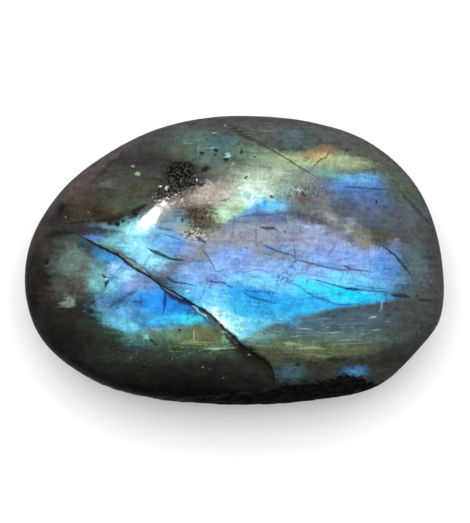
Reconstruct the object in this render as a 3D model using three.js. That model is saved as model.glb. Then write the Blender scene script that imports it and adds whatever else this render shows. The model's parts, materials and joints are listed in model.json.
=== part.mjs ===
// A polished labradorite palm stone: one solid pebble, ground by hand and lying on its flat underside.
// Units are millimetres. +X runs along the stone, +Y across it and +Z up. The origin is in the plane
// of the underside, below the middle of the stone's outline.
import * as THREE from "three";
import { ParametricGeometry } from "three/addons/geometries/ParametricGeometry.js";
import { mergeVertices } from "three/addons/utils/BufferGeometryUtils.js";

// The widest outline, as radii from the origin at equal steps anticlockwise from +X.
const RIM_RADII = [
  34.5, 33.0, 30.1, 26.6, 24.6, 24.5, 25.7, 27.9, 31.5, 34.6, 34.9, 31.1, 26.9, 24.6, 24.6, 27.1, 32.1, 35.5,
];

// Heights above the surface that the stone lies on. The rim rises and falls a little on its way round.
const STONE_HEIGHT = 25;
const RIM_HEIGHT = 11;
const RIM_WAVE = 0.9;
const RIM_WAVE_TURN = THREE.MathUtils.degToRad(70);

// The crown's highest point lies off the middle, and so does the middle of the flat underside.
const CREST = new THREE.Vector2(-2.5, 1.5);
const BASE_MIDDLE = new THREE.Vector2(1.0, -0.5);
const BASE_SHARE = 0.46; // the flat underside's share of the rim's radius

// Superellipse exponents of the two profiles: 2 is a plain ellipse, and more is fuller.
const CROWN_FULLNESS = 2.25;
const BELLY_FULLNESS = 2.1;

// Broad flats left by the grinding wheel. Each faces along its heading and pitch, at its own distance
// from the stone's core.
const CORE = new THREE.Vector3(0, 0, 11.5);
const FLATS = [
  { heading: -62, pitch: 72, distance: 15.3 },
  { heading: 118, pitch: 50, distance: 19.4 },
  { heading: 15, pitch: 38, distance: 27.8 },
  { heading: -42, pitch: -4, distance: 32.7 },
  { heading: -100, pitch: 30, distance: 22.6 },
  { heading: 196, pitch: 34, distance: 30.1 },
];
const FLAT_EDGE = 0.4; // how gradually a flat runs out into the curve beside it

// Mesh density.
const COLUMNS = 96;
const BASE_ROWS = 1;
const BELLY_ROWS = 10;
const CROWN_ROWS = 18;
const ROWS = BASE_ROWS + BELLY_ROWS + CROWN_ROWS;
const MERGE_DISTANCE = 1e-4;

// The rim's radius at a turn: a closed curve through RIM_RADII, each stretch a Catmull-Rom cubic.
function rimRadius(turn) {
  const count = RIM_RADII.length;
  const place = (turn / (2 * Math.PI)) * count;
  const first = Math.floor(place);
  const t = place - first;
  const [a, b, c, d] = [-1, 0, 1, 2].map((step) => RIM_RADII[(first + step + count) % count]);
  return b + 0.5 * t * (c - a + t * (2 * a - 5 * b + 4 * c - d + t * (3 * (b - c) + d - a)));
}

function rimPoint(turn) {
  const radius = rimRadius(turn);
  const height = RIM_HEIGHT + RIM_WAVE * Math.cos(2 * turn - RIM_WAVE_TURN);
  return new THREE.Vector3(radius * Math.cos(turn), radius * Math.sin(turn), height);
}

// A quarter of a superellipse, from (1, 0) at t = 0 to (0, 1) at t = 1.
function quarter(t, fullness) {
  const angle = (t * Math.PI) / 2;
  return [Math.cos(angle) ** (2 / fullness), Math.sin(angle) ** (2 / fullness)];
}

// The unit vector at a heading (degrees anticlockwise from +X) and a pitch (degrees above level).
function direction(heading, pitch) {
  const turn = THREE.MathUtils.degToRad(heading);
  const rise = THREE.MathUtils.degToRad(pitch);
  const level = new THREE.Vector3(Math.cos(turn), Math.sin(turn), 0);
  return level.multiplyScalar(Math.cos(rise)).setZ(Math.sin(rise));
}

// Pushes a point back to each flat that it lies beyond. The push grows smoothly from nothing just
// before the flat, which leaves the flat a rounded edge.
function grind(point) {
  for (const { heading, pitch, distance } of FLATS) {
    const facing = direction(heading, pitch);
    const beyond = point.clone().sub(CORE).dot(facing) - distance;
    point.addScaledVector(facing, -FLAT_EDGE * Math.log(1 + Math.exp(beyond / FLAT_EDGE)));
  }
  return point;
}

// The skin at a turn round the stone and a row from the middle of the underside to the crest.
function skinPoint(turn, row) {
  const rim = rimPoint(turn);
  const flat = new THREE.Vector2(rim.x, rim.y).multiplyScalar(BASE_SHARE).add(BASE_MIDDLE);
  if (row <= BASE_ROWS) {
    const spot = BASE_MIDDLE.clone().lerp(flat, row / BASE_ROWS);
    return new THREE.Vector3(spot.x, spot.y, 0);
  }
  if (row <= BASE_ROWS + BELLY_ROWS) {
    const [inward, down] = quarter(1 - (row - BASE_ROWS) / BELLY_ROWS, BELLY_FULLNESS);
    const spot = flat.lerp(new THREE.Vector2(rim.x, rim.y), inward);
    return grind(new THREE.Vector3(spot.x, spot.y, rim.z * (1 - down)));
  }
  const [outward, up] = quarter((row - BASE_ROWS - BELLY_ROWS) / CROWN_ROWS, CROWN_FULLNESS);
  const spot = CREST.clone().lerp(new THREE.Vector2(rim.x, rim.y), outward);
  return grind(new THREE.Vector3(spot.x, spot.y, rim.z + (STONE_HEIGHT - rim.z) * up));
}

// The closed skin. The grid's two edges meet, and its first and last rows are points, so the
// vertices there are merged and the triangles that have shrunk to a line are left out.
function stoneGeometry() {
  const skin = (u, v, target) => target.copy(skinPoint(2 * Math.PI * (u % 1), Math.round(v * ROWS)));
  const grid = new ParametricGeometry(skin, COLUMNS, ROWS);
  grid.deleteAttribute("normal");
  grid.deleteAttribute("uv");
  const merged = mergeVertices(grid, MERGE_DISTANCE);
  const corners = merged.index.array;
  const kept = [];
  for (let i = 0; i < corners.length; i += 3) {
    const [a, b, c] = corners.slice(i, i + 3);
    if (a !== b && b !== c && c !== a) kept.push(a, b, c);
  }
  merged.setIndex(kept);
  merged.computeVertexNormals();
  return merged;
}

const labradorite = new THREE.MeshStandardMaterial({ color: 0x4a5a62, roughness: 0.12, metalness: 0.1 });

const stone = new THREE.Mesh(stoneGeometry(), labradorite);
stone.name = "stone";

const palmStone = new THREE.Group();
palmStone.add(stone);

export default palmStone;
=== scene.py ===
# %% [markdown]
# This lesson dresses one polished labradorite palm stone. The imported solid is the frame: it gives the
# stone's place and size, and everything here is worked out in the same frame. Lengths are thought
# of in millimetres, because that is how one measures a pebble, and become metres at the last moment.

# %% The frame
import json
import math

import bpy
import numpy as np
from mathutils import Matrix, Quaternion, Vector

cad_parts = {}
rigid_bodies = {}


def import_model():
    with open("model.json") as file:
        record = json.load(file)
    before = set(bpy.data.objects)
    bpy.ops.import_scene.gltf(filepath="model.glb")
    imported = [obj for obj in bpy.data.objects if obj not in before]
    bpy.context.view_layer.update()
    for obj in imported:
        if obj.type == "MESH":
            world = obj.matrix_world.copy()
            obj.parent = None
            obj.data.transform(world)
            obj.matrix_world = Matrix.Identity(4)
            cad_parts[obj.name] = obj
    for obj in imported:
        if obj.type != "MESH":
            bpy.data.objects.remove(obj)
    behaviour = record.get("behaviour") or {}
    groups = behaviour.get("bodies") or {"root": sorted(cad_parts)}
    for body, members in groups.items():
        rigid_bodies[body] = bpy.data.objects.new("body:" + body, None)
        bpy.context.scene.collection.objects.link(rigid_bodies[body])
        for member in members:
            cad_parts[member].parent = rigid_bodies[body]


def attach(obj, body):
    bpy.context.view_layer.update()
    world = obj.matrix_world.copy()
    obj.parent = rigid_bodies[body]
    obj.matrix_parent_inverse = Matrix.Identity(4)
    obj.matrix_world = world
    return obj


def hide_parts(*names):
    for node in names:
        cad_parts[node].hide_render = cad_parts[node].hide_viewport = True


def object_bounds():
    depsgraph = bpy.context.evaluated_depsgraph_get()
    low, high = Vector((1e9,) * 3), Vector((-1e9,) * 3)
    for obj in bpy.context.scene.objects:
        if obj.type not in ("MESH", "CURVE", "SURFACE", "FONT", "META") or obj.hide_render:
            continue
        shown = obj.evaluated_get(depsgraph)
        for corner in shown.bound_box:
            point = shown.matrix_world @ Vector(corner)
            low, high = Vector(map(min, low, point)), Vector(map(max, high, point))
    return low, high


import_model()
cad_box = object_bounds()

MM = 0.001
STONE_HEIGHT = cad_box[1].z / MM
print("stone in the frame, mm:", [round(x / MM, 2) for x in cad_box[1] - cad_box[0]])

# %% [markdown]
# The photograph was taken from nearly straight above the stone. The camera is made first, because the
# markings are drawn where that picture shows them: a plane of millimetres through the stone's widest
# outline, with u to the right and v up the picture. A long lens keeps the outline nearly flat.

# %% The camera and the picture plane
PICTURE_HEIGHT_PX = 523
PX_PER_MM = 6.0
LENS_MM = 135.0
SENSOR_MM = 36.0  # the long side, which is the picture's height
ELEVATION = math.radians(80)
AIM_MM = np.array([0.09, -0.28, 11.0])
STAND_OFF_MM = PICTURE_HEIGHT_PX / PX_PER_MM * LENS_MM / SENSOR_MM
PICTURE_MIDDLE_PX = np.array([235.0, 261.5])
NEAREST_MM = 10.0

RIGHT = np.array([1.0, 0.0, 0.0])
UP = np.array([0.0, math.sin(ELEVATION), math.cos(ELEVATION)])
BACK = np.array([0.0, -math.cos(ELEVATION), math.sin(ELEVATION)])

camera_data = bpy.data.cameras.new("photo_camera")
camera_data.lens = LENS_MM
camera_data.sensor_width = SENSOR_MM
camera_data.clip_start = NEAREST_MM * MM
camera = bpy.data.objects.new("photo_camera", camera_data)
bpy.context.scene.collection.objects.link(camera)
camera.location = (AIM_MM + BACK * STAND_OFF_MM) * MM
camera.rotation_euler = (math.pi / 2 - ELEVATION, 0, 0)
bpy.context.scene.camera = camera


def plane(*pixels):
    """Places in the picture plane, in mm from the camera's aim, for places in the photograph's pixels."""
    offset = np.array(pixels, float).reshape(-1, 2) - PICTURE_MIDDLE_PX
    return offset / PX_PER_MM * [1, -1]


def seen(points):
    """Where the camera sees points, in the picture plane: (u, v) times stand-off over depth."""
    offset = points - AIM_MM
    depth = STAND_OFF_MM - offset @ BACK
    return np.stack([offset @ RIGHT, offset @ UP], -1) * (STAND_OFF_MM / depth)[..., None]


print("camera stands off, mm:", round(STAND_OFF_MM, 1))

# %% [markdown]
# The stone is a pebble that was ground by hand against a wheel. Its form has two parameters: the turn
# round the stone, and how far out from the middle a point lies. The outline is a closed curve through a
# few radii, and two superellipse quarters make the crown above it and the belly below. Broad flats are
# then ground off. These are the solid's own dimensions, so that the fine skin lies in the solid's skin.

# %% The pebble's form
RIM_RADII = np.array([  # every 20 degrees, from the right round by the back
    34.5, 33.0, 30.1, 26.6, 24.6, 24.5, 25.7, 27.9, 31.5,
    34.6, 34.9, 31.1, 26.9, 24.6, 24.6, 27.1, 32.1, 35.5,
])
RIM_HEIGHT = 11.0
RIM_WAVE = 0.9
RIM_WAVE_TURN = math.radians(70)
CREST = np.array([-2.5, 1.5])
BASE_MIDDLE = np.array([1.0, -0.5])
BASE_SHARE = 0.46
BASE_ROWS_SHARE = 0.3  # the share of the belly's grid that lies on the flat underside
CROWN_FULLNESS = 2.25
BELLY_FULLNESS = 2.1
CORE = np.array([0, 0, 11.5])
FLAT_EDGE = 0.4
FLATS = [  # heading and pitch in degrees, and distance from the core
    (-62, 72, 15.3),
    (118, 50, 19.4),
    (15, 38, 27.8),
    (-42, -4, 32.7),
    (-100, 30, 22.6),
    (196, 34, 30.1),
]


def rim(turn):
    """The widest outline: a Catmull-Rom cubic through RIM_RADII, with a height that waves twice a turn."""
    count = len(RIM_RADII)
    place = turn / (2 * math.pi) * count
    first = np.floor(place).astype(int)
    t = place - first
    a, b, c, d = (RIM_RADII[(first + step) % count] for step in (-1, 0, 1, 2))
    radius = b + 0.5 * t * (c - a + t * (2 * a - 5 * b + 4 * c - d + t * (3 * (b - c) + d - a)))
    height = RIM_HEIGHT + RIM_WAVE * np.cos(2 * turn - RIM_WAVE_TURN)
    return np.stack([radius * np.cos(turn), radius * np.sin(turn)], -1), height


def direction(heading, pitch):
    """The unit vector at a heading and a pitch in degrees."""
    heading, pitch = math.radians(heading), math.radians(pitch)
    level = math.cos(pitch)
    return np.array([level * math.cos(heading), level * math.sin(heading), math.sin(pitch)])


def grind(points):
    """Points pushed back to each flat, so that its edge is rounded.

    A point that lies beyond a flat by b goes back by edge * log(1 + exp(b / edge)).
    """
    for heading, pitch, distance in FLATS:
        facing = direction(heading, pitch)
        beyond = (points - CORE) @ facing - distance
        points = points - (FLAT_EDGE * np.logaddexp(0, beyond / FLAT_EDGE))[..., None] * facing
    return points


def skin(turn, out, inner, share, height, fullness):
    """A superellipse quarter from the rim (out = 1) to the middle line (out = 0), ground flat in places.

    With a = (1 - out) * 90 degrees, a point lies cos(a) ** (2 / fullness) of the way from the inner
    outline to the rim, and sin(a) ** (2 / fullness) of the way from the rim's height to the given one.
    The inner outline is the rim shrunk to a share of itself about the point given as inner.
    """
    outline, rim_height = rim(turn)
    angle = (1 - out) * math.pi / 2
    outward = np.cos(angle) ** (2 / fullness)
    toward = np.sin(angle) ** (2 / fullness)
    start = outline * share + inner
    level = start + (outline - start) * outward[..., None]
    rise = rim_height + (height - rim_height) * toward
    return grind(np.concatenate([level, rise[..., None]], -1))


def crown(turn, out):
    """The upper skin, up to the crest."""
    return skin(turn, out, CREST, 0.0, STONE_HEIGHT, CROWN_FULLNESS)


def belly(turn, out):
    """The lower skin. Its inner share, out below BASE_ROWS_SHARE, is the flat underside."""
    curve = np.clip((out - BASE_ROWS_SHARE) / (1 - BASE_ROWS_SHARE), 0, 1)
    points = skin(turn, curve, BASE_MIDDLE, BASE_SHARE, 0.0, BELLY_FULLNESS)
    flat = np.clip(out / BASE_ROWS_SHARE, 0, 1)[..., None]
    middle = np.append(BASE_MIDDLE, 0.0)
    on_base = middle + (points * [1, 1, 0] - middle) * flat
    return np.where((out <= BASE_ROWS_SHARE)[..., None], on_base, points)


# %% [markdown]
# A grid of turns and rows would crowd its points at the crest, in the middle of the picture. So each
# half is a square grid that is wrapped onto a disc: out is the larger of the two grid coordinates, and the
# turn runs evenly round each square. The two halves share the points of their edge, which closes the skin.

# %% The skin's grid
CELLS = 220  # along each side of either half: the whole skin stays under 200,000 triangles


def wrapped_square(cells):
    """Turn and out at each point of a square grid wrapped onto a disc, an eighth of a turn per half side."""
    side = np.linspace(-1, 1, cells + 1)
    s, t = np.meshgrid(side, side)
    wide = abs(s) >= abs(t)
    out = np.maximum(abs(s), abs(t))
    slope = np.where(wide, t, s) / np.where(out == 0, 1, np.where(wide, s, t))
    start = np.where(wide, np.where(s >= 0, 0, math.pi), np.where(t > 0, math.pi / 2, 1.5 * math.pi))
    turn = start + np.where(wide, 1, -1) * slope * math.pi / 4
    return turn % (2 * math.pi), out


def quads(index):
    """The four corners of each cell of a grid of vertex numbers."""
    corners = index[:-1, :-1], index[:-1, 1:], index[1:, 1:], index[1:, :-1]
    return np.stack([corner.ravel() for corner in corners], -1)


turn, out = wrapped_square(CELLS)
upper = np.arange(turn.size).reshape(turn.shape)
edge = out == 1
lower = np.where(edge, upper, 0)
lower[~edge] = turn.size + np.arange((~edge).sum())
points = np.concatenate([crown(turn, out).reshape(-1, 3), belly(turn, out)[~edge]])
faces = np.concatenate([quads(upper), quads(lower)[:, ::-1]])
print("skin:", len(points), "points,", 2 * len(faces), "triangles")

# %% [markdown]
# The skin is not even. It was polished by hand, so it waves by hundredths of a millimetre, which is what
# makes its highlight ragged. It opens along the fracture, it is pitted where a dark mineral broke out,
# and a strip of its lower edge was never ground. All of this goes inward only. Roughness is value
# noise: random numbers on a lattice, blended between the lattice points.

# %% Lines drawn on the stone
FRACTURE_PX = [
    (25, 222), (60, 228), (76, 234), (90, 241), (100, 246), (109, 251), (120, 257), (127, 264), (136, 270),
    (148, 276), (162, 286), (176, 293), (195, 305), (211, 315), (220, 324), (228, 332), (236, 338),
    (241, 345), (250, 350), (257, 356), (265, 361), (272, 370), (275, 383), (279, 400), (284, 420),
]
OPENS_AT, CLOSES_AT = 2, 21  # the places in it where its groove starts and ends
UNGROUND_PX = [  # the upper edge of the strip that was never ground
    (60, 366), (105, 386), (135, 396), (175, 400), (230, 396), (262, 392), (276, 388), (294, 385),
    (324, 381), (355, 376), (373, 384), (400, 402),
]


def frame_of(line):
    """A line's places in the picture plane, and the heading from its first place to its last."""
    places = plane(*line)
    chord = places[-1] - places[0]
    return places, math.atan2(chord[1], chord[0])


def turned(places, heading):
    """Places as seen after the axes have been turned by a heading."""
    c, s = math.cos(heading), math.sin(heading)
    return places @ np.array([[c, -s], [s, c]])


def beside(line, spots):
    """How far spots lie along a line's chord, and how far to the left of the line itself, in mm."""
    places, heading = frame_of(line)
    course = turned(places - places[0], heading)
    along, aside = np.moveaxis(turned(spots - places[0], heading), -1, 0)
    return along, aside - np.interp(along, course[:, 0], course[:, 1])


def ramp(value, start, end):
    """A smooth step from 0 at the start to 1 at the end: 3 t squared minus 2 t cubed."""
    t = np.clip((value - start) / (end - start), 0, 1)
    return t * t * (3 - 2 * t)


def lumps(points, size, seed):
    """Value noise from -1 to 1, on a lattice whose cells have the given size in mm."""
    lattice = np.random.default_rng(seed).uniform(-1, 1, (64, 64, 64))
    place = points / size
    cell = np.floor(place).astype(int)
    t = place - cell
    t = t * t * (3 - 2 * t)
    total = 0
    for corner in np.ndindex(2, 2, 2):
        share = np.where(corner, t, 1 - t).prod(-1)
        total = total + share * lattice[tuple(((cell + corner) % 64).T)]
    return total


def heaped(points, rows, start=0.0):
    """A start plus each row's share times its lumps. A row is a share, a size in mm and a seed."""
    return sum((share * lumps(points, size, seed) for share, size, seed in rows), start)


# %% The smooth stone as a mesh
mesh = bpy.data.meshes.new("polished_stone")
mesh.from_pydata(points * MM, [], faces)
mesh.update()
mesh.polygons.foreach_set("use_smooth", np.ones(len(faces), bool))
outward = np.empty(points.size, np.float32)
mesh.vertex_normals.foreach_get("vector", outward)
outward = outward.reshape(-1, 3)

# %% Waves and the fracture's groove
POLISH_DEPTH = 0.045  # in mm, as every length in the relief
POLISH_WAVES = [(0.014, 5.0, 1), (0.006, 1.8, 2), (0.002, 0.9, 8)]
LEAST_DEPTH = 0.012
SEEN_FROM = 0.15  # how far a face turns upward, along BACK, where it has its full relief
BASE_FADE = (0.05, 1.2)  # heights between which the relief sets in, so the underside stays flat
GROOVE_DEPTH = 0.08
GROOVE_ASIDE = -0.15
GROOVE_HALF_WIDTHS = (0.05, 0.7)
GROOVE_DEEPENS = (4, 16)  # after its start
GROOVE_ENDS = (-4, 3)  # before and after its end

spots = seen(points)
facing = ramp(outward @ BACK, 0.0, SEEN_FROM)
off_base = ramp(points[:, 2], *BASE_FADE)
depth = heaped(points, POLISH_WAVES, POLISH_DEPTH)
along, aside = beside(FRACTURE_PX, spots)
open_ends = plane(FRACTURE_PX[OPENS_AT], FRACTURE_PX[CLOSES_AT])
course_start, course_end = beside(FRACTURE_PX, open_ends)[0]
course = ramp(along, *(course_start + step for step in GROOVE_DEEPENS))
course = course * (1 - ramp(along, *(course_end + step for step in GROOVE_ENDS)))
depth += facing * course * GROOVE_DEPTH * (1 - ramp(abs(aside - GROOVE_ASIDE), *GROOVE_HALF_WIDTHS))
print("groove, mm long:", round(course_end - course_start, 1))

# %% Pits and the strip that was never ground
CLUSTER_PX = [(180, 173, 17, 14), (166, 193, 10, 9), (194, 184, 10, 5)]  # places, and half sizes
CLUSTER_RIM = (0.7, 1.15)  # in half sizes
PIT_DEPTH = 0.15
PIT_LUMPS = [(1.0, 0.75, 3), (0.4, 1.6, 4)]
PIT_THRESHOLD = (0.0, 0.5)
UNGROUND_MIDDLE_MM = -2.0  # along x
UNGROUND_REACH_MM = 18.6  # to either side of that, at the height 0
UNGROUND_LEAN = 0.8  # how much further it reaches for each mm of height
UNGROUND_FRONT = (8.0, 17.0)  # how far to the front it sets in
UNGROUND_HEIGHTS = (3.0, 7.0)
END_LUMPS = [(1.5, 3.0, 9)]
END_FADE = (-2.0, 1.0)
EDGE_LUMPS = [(0.35, 1.3, 5)]
EDGE_FADE = (-0.25, 0.25)
BROKEN_DEPTH = 0.16
BROKEN_LUMPS = [(0.10, 2.2, 6), (0.06, 0.8, 7)]

for x, y, half_x, half_y in CLUSTER_PX:
    away = np.hypot(*((spots - plane((x, y))[0]) / (half_x / PX_PER_MM, half_y / PX_PER_MM)).T)
    holes = ramp(heaped(points, PIT_LUMPS), *PIT_THRESHOLD)
    depth += facing * PIT_DEPTH * (1 - ramp(away, *CLUSTER_RIM)) * holes
_, above = beside(UNGROUND_PX, spots)
ends = abs(points[:, 0] - UNGROUND_MIDDLE_MM) - UNGROUND_LEAN * points[:, 2] - UNGROUND_REACH_MM
low_side = ramp(-points[:, 1], *UNGROUND_FRONT) * (1 - ramp(ends + heaped(points, END_LUMPS), *END_FADE))
low_side = low_side * ramp(points[:, 2], *UNGROUND_HEIGHTS)
broken = ramp(heaped(points, EDGE_LUMPS) - above, *EDGE_FADE) * low_side
depth += broken * heaped(points, BROKEN_LUMPS, BROKEN_DEPTH)
points -= (np.clip(depth, LEAST_DEPTH, None) * off_base)[:, None] * outward
mesh.vertices.foreach_set("co", (points * MM).ravel())
mesh.update()
print("relief, mm: mean", depth.mean().round(3), "deepest", depth.max().round(3))

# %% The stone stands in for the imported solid
stone = bpy.data.objects.new("polished_stone", mesh)
bpy.context.scene.collection.objects.link(stone)
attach(stone, "root")
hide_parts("stone")

# %% [markdown]
# Labradorite is a dark feldspar full of very thin layers. Light comes back coloured from between the
# layers, and shows as flashes with borders of their own: blue and cyan where the layers are thinnest,
# then green, gold and orange. The flashes lie inside the stone, under the polish, so they are painted
# here as colour, below a clear coat that stands for the polish.
#
# Each flash is placed one by one in the picture plane. The nodes work that plane out from Object
# coordinates just as seen() does, so a mark stays where it is when the camera moves.

# %% Nodes and colours
def tone(code):
    """An sRGB hex colour as linear red, green, blue and alpha."""
    value = np.array([int(code[i : i + 2], 16) for i in (1, 3, 5)]) / 255
    linear = np.where(value <= 0.04045, value / 12.92, ((value + 0.055) / 1.055) ** 2.4)
    return (*linear, 1)


def add(kind, *values, take=None, **settings):
    """A shader node with its settings. Its inputs are filled in order: sockets are linked, values are set."""
    node = nodes.new("ShaderNode" + kind)
    for name, value in settings.items():
        setattr(node, name, value)
    for socket, value in zip([socket for socket in node.inputs if socket.enabled], values):
        if isinstance(value, bpy.types.NodeSocket):
            links.new(value, socket)
        elif value is not None:
            socket.default_value = value
    return node.outputs[take] if take else next(socket for socket in node.outputs if socket.enabled)


EASED = {"interpolation_type": "SMOOTHSTEP", "clamp": False}
RGB = {"data_type": "RGBA"}
TIMES = {"operation": "MULTIPLY"}
TIMES_PLUS = {"operation": "MULTIPLY_ADD"}
MINUS = {"operation": "SUBTRACT"}
LARGER = {"operation": "MAXIMUM"}
DOT = {"operation": "DOT_PRODUCT", "take": "Value"}
CELLS = {"vector_type": "TEXTURE"}  # for a Mapping that divides the place by the size of a cell

# %% [markdown]
# Two small node groups do the painting, a patch and a stroke. A patch is a soft ellipse of colour: the
# mask falls from its strength to nothing as the distance from the middle, in half sizes, passes from
# the inner to the outer limit. A stroke is the same with the distance from a line, in widths.

# %% Node groups
def group(name, given, made):
    """An empty node group with named sockets, and the ends of those sockets inside it."""
    tree = bpy.data.node_groups.new(name, "ShaderNodeTree")
    for way, sockets in (("INPUT", given), ("OUTPUT", made)):
        for socket, kind in sockets.items():
            tree.interface.new_socket(socket, in_out=way, socket_type="NodeSocket" + kind)
    return tree, tree.nodes.new("NodeGroupInput").outputs, tree.nodes.new("NodeGroupOutput").inputs


under = {"Colour": "Color"}
shape = {"Place": "Vector", "Middle": "Vector", "Along": "Vector", "Across": "Vector"}
look = {"Inner": "Float", "Outer": "Float", "Paint": "Color", "Strength": "Float"}
PATCH, given, made = group("patch", {**under, **shape, **look}, {**under, "Mask": "Float"})
nodes, links = PATCH.nodes, PATCH.links
offset = add("VectorMath", given["Place"], given["Middle"], **MINUS)
along = add("VectorMath", offset, given["Along"], **DOT)
across = add("VectorMath", offset, given["Across"], **DOT)
away = add("VectorMath", add("CombineXYZ", along, across), operation="LENGTH", take="Value")
mask = add("MapRange", away, given["Inner"], given["Outer"], given["Strength"], 0.0, **EASED)
links.new(add("Mix", mask, given["Colour"], given["Paint"], **RGB), made["Colour"])
links.new(mask, made["Mask"])

CURVE_SLACK_MM = 0.01  # a curve node is this inexact at its ends
line = {"Across": "Float", "Course": "Float", "Width": "Float", "Paint": "Color", "Strength": "Float"}
STROKE, given, made = group("stroke", {**under, **line}, under)
nodes, links = STROKE.nodes, STROKE.links
aside = add("Math", add("Math", given["Across"], given["Course"], **MINUS), operation="ABSOLUTE")
reach = add("Math", add("Math", given["Width"], CURVE_SLACK_MM, **MINUS), 0.0, **LARGER)
mask = add("MapRange", aside, 0.0, reach, given["Strength"], 0.0, **EASED)
links.new(add("Mix", mask, given["Colour"], given["Paint"], **RGB), made["Colour"])

# %% The place on the stone
material = bpy.data.materials.new("polished_labradorite")
material.use_nodes = True
nodes, links = material.node_tree.nodes, material.node_tree.links
shader = nodes["Principled BSDF"]
mesh.materials.append(material)

on_stone = add("TexCoord", take="Object")
rock = add("VectorMath", on_stone, operation="SCALE")
rock.node.inputs["Scale"].default_value = 1 / MM
tilt = (math.pi / 2 - ELEVATION, 0, 0)
in_view = add("Mapping", rock, tuple(AIM_MM), tilt, (1, 1, 1), **CELLS)
distance = add("Math", STAND_OFF_MM, add("SeparateXYZ", in_view, take="Z"), **MINUS)
nearness = add("Math", STAND_OFF_MM, distance, operation="DIVIDE")
on_plane = add("VectorMath", in_view, (1, 1, 0), **TIMES)
place = add("VectorMath", on_plane, operation="SCALE")
links.new(nearness, place.node.inputs["Scale"])

# %% [markdown]
# Nothing in a crystal is quite straight. Noises push the place about before anything is painted: a little
# for cracks, more for small patches, most for whole flashes. One of them is drawn out along the layers,
# which lie nearly level in the picture, so the flashes fray in level streaks. A noise is written as its
# lumps per millimetre, its octaves and their roughness.

# %% Grain
CENTRE = (0.5, 0.5, 0.5)
WIGGLE = (0.4, 6, 0.6)
WANDER = (0.3, 3, 0.5)
STREAKS = (1.0, 4, 0.55)  # per cell here, not per mm
CRUMBLE = (1.6, 3, 0.6)
LAYERS_TILT = math.radians(-5)
STREAK_CELL_MM = (3.6, 0.6, 1)


def swing(noise):
    """A noise's colour, shifted to swing about zero."""
    return add("VectorMath", noise, CENTRE, **MINUS)


wiggle = swing(add("TexNoise", rock, *WIGGLE, take="Color"))
wander = swing(add("TexNoise", rock, *WANDER, take="Color"))
layered = add("Mapping", place, (0, 0, 0), (0, 0, LAYERS_TILT), STREAK_CELL_MM, **CELLS)
streak = swing(add("TexNoise", layered, *STREAKS, take="Color"))
crumble = swing(add("TexNoise", rock, *CRUMBLE, take="Color"))


def pushed(*pushes):
    """The place after pushes, each a noise and how far it pushes across and up the picture in mm."""
    spot = place
    for noise, across, up in pushes:
        spot = add("VectorMath", noise, (across, up, 0), spot, **TIMES_PLUS)
    return spot


near = pushed((wiggle, 0.4, 0.4), (streak, 0.2, 0.1), (crumble, 0.25, 0.25))
chipped = pushed((wiggle, 0.4, 0.4), (streak, 0.2, 0.1), (crumble, 1.1, 1.1))
mid = pushed((wander, 2.0, 1.6), (streak, 2.2, 0.8), (crumble, 1.8, 1.8))
far = pushed((wander, 4.0, 3.0), (streak, 3.6, 1.3), (crumble, 2.4, 2.4))
torn = pushed((wander, 1.5, 1.2), (streak, 0.5, 0.3), (crumble, 2.6, 2.6))

# %% [markdown]
# The painting helpers come next. Each returns a socket with the new colour, so that marks are laid one
# over another, as a painter glazes. Places and sizes are in the photograph's pixels.

# %% Patches and strokes
STRAIGHT_REACH = 1.1  # a straight stroke is a patch this much longer, because its ends fade
STRAIGHT_SOFTNESS = 0.6


def patch(colour, spot, x, y, half_x, half_y, tilt, soft, code, strength=1.0, take="Colour"):
    """A colour under a soft ellipse of another. Softness 0 is a sharp edge, 1 fades from the middle."""
    middle = plane((x, y))[0]
    c, s = math.cos(math.radians(tilt)), math.sin(math.radians(tilt))
    along = np.array([c, s, 0]) * PX_PER_MM / half_x
    across = np.array([-s, c, 0]) * PX_PER_MM / half_y
    look = 1 - soft, 1 + soft, tone(code), strength
    return add("Group", colour, spot, (*middle, 0), along, across, *look, node_tree=PATCH, take=take)


def through(value, course):
    """A smooth curve through points (value, result)."""
    curve = add("FloatCurve", None, value)
    mapping = curve.node.mapping
    mapping.use_clip = False
    mapping.extend = "HORIZONTAL"
    knots = mapping.curves[0].points
    for x, y in course[2:]:
        knots.new(x, y)
    for knot, (x, y) in zip(knots, course):
        knot.location = (x, y)
    mapping.update()
    return curve


def beside_line(spot, line):
    """Sockets for how far along a line's chord a place is, how far across it, and the line's course."""
    places, heading = frame_of(line)
    c, s = math.cos(heading), math.sin(heading)
    along = add("VectorMath", spot, (c, s, 0), **DOT)
    return along, add("VectorMath", spot, (-s, c, 0), **DOT), through(along, turned(places, heading))


def left_of(spot, line, soft):
    """1 on the left of a line and 0 on its right, eased over a width in mm. A negative width swaps them."""
    _, across, course = beside_line(spot, line)
    return add("MapRange", add("Math", across, course, **MINUS), -soft / 2, soft / 2, **EASED)


def stroke(colour, line, widths, code, strength=1.0):
    """A line of another colour. Its widths in pixels are spread evenly from its first place to its last."""
    places, heading = frame_of(line)
    if len(line) == 2:
        (x, y), half_length = np.mean(line, 0), math.dist(*line) / 2 * STRAIGHT_REACH
        form = x, y, half_length, widths[0] / 2, math.degrees(heading), STRAIGHT_SOFTNESS
        return patch(colour, near, *form, code, strength)
    along, across, course = beside_line(near, line)
    first, last = turned(places, heading)[[0, -1], 0]
    steps = np.linspace(first, last, len(widths) + 2)
    width = through(along, list(zip(steps, np.array([0, *widths, 0]) / PX_PER_MM)))
    return add("Group", colour, across, course, width, tone(code), strength, node_tree=STROKE)
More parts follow.
